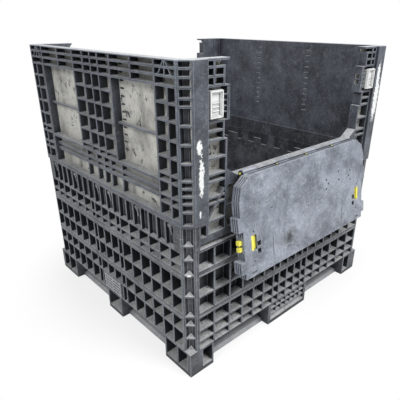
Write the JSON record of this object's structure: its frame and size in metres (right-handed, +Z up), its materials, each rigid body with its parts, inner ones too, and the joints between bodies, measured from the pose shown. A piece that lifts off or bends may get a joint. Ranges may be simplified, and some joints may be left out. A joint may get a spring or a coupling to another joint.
{
  "type": "bulk container",
  "caption": "Collapsible ribbed plastic bulk container on feet and runners, with fold-down end walls and drop doors hanging open.",
  "frame": {"origin": "centre of the footprint on the ground", "axes": "+Z up; the front doorway faces -Y; +X to the right seen from the front"},
  "size_m": [1.219, 1.3264, 1.188],
  "materials": {
    "charcoal_plastic": "moulded, weathered",
    "door_plastic": "moulded, scuffed",
    "runner_plastic": "moulded, worn",
    "white_plastic": "moulded",
    "yellow_plastic": "moulded",
    "rod_steel": "drawn"
  },
  "bodies": {
    "base": {"base": "charcoal_plastic", "skid_frame": "runner_plastic", "side_wall_left": "charcoal_plastic", "side_wall_right": "charcoal_plastic", "side_hinge_rod_left": "rod_steel", "side_hinge_rod_right": "rod_steel", "end_hinge_rod_front": "rod_steel", "end_hinge_rod_rear": "rod_steel"},
    "end_wall_front": {"end_wall_front": "charcoal_plastic", "door_hinge_rod_front": "rod_steel"},
    "door_front": {"door_front": "door_plastic"},
    "wall_latch_front_left": {"wall_latch_front_left": "white_plastic"},
    "door_latch_front_left": {"door_latch_front_left": "yellow_plastic"},
    "wall_latch_front_right": {"wall_latch_front_right": "white_plastic"},
    "door_latch_front_right": {"door_latch_front_right": "yellow_plastic"},
    "end_wall_rear": {"end_wall_rear": "charcoal_plastic", "door_hinge_rod_rear": "rod_steel"},
    "door_rear": {"door_rear": "door_plastic"},
    "wall_latch_rear_left": {"wall_latch_rear_left": "white_plastic"},
    "door_latch_rear_left": {"door_latch_rear_left": "yellow_plastic"},
    "wall_latch_rear_right": {"wall_latch_rear_right": "white_plastic"},
    "door_latch_rear_right": {"door_latch_rear_right": "yellow_plastic"}
  },
  "joints": [
    {"name": "end_wall_front_hinge", "type": "hinge", "parent": "base", "child": "end_wall_front", "pos_m": [0, -0.5395, 0.58], "axis": [-1, 0, 0], "range_deg": [0, 90]},
    {"name": "door_front_hinge", "type": "hinge", "parent": "end_wall_front", "child": "door_front", "pos_m": [0, -0.5645, 0.797], "axis": [-1, 0, 0], "range_deg": [0, 172]},
    {"name": "wall_latch_front_left_slide", "type": "slide", "parent": "end_wall_front", "child": "wall_latch_front_left", "axis": [-1, 0, 0], "range_m": [0, 0.008]},
    {"name": "door_latch_front_left_slide", "type": "slide", "parent": "door_front", "child": "door_latch_front_left", "axis": [1, 0, 0], "range_m": [0, 0.017], "stiffness_N_per_m": 400, "springref_m": -0.01},
    {"name": "wall_latch_front_right_slide", "type": "slide", "parent": "end_wall_front", "child": "wall_latch_front_right", "axis": [1, 0, 0], "range_m": [0, 0.008]},
    {"name": "door_latch_front_right_slide", "type": "slide", "parent": "door_front", "child": "door_latch_front_right", "axis": [-1, 0, 0], "range_m": [0, 0.017], "stiffness_N_per_m": 400, "springref_m": -0.01},
    {"name": "end_wall_rear_hinge", "type": "hinge", "parent": "base", "child": "end_wall_rear", "pos_m": [0, 0.5395, 0.628], "axis": [1, 0, 0], "range_deg": [0, 90]},
    {"name": "door_rear_hinge", "type": "hinge", "parent": "end_wall_rear", "child": "door_rear", "pos_m": [0, 0.5645, 0.797], "axis": [1, 0, 0], "range_deg": [0, 172]},
    {"name": "wall_latch_rear_left_slide", "type": "slide", "parent": "end_wall_rear", "child": "wall_latch_rear_left", "axis": [-1, 0, 0], "range_m": [0, 0.008]},
    {"name": "door_latch_rear_left_slide", "type": "slide", "parent": "door_rear", "child": "door_latch_rear_left", "axis": [1, 0, 0], "range_m": [0, 0.017], "stiffness_N_per_m": 400, "springref_m": -0.01},
    {"name": "wall_latch_rear_right_slide", "type": "slide", "parent": "end_wall_rear", "child": "wall_latch_rear_right", "axis": [1, 0, 0], "range_m": [0, 0.008]},
    {"name": "door_latch_rear_right_slide", "type": "slide", "parent": "door_rear", "child": "door_latch_rear_right", "axis": [-1, 0, 0], "range_m": [0, 0.017], "stiffness_N_per_m": 400, "springref_m": -0.01}
  ]
}
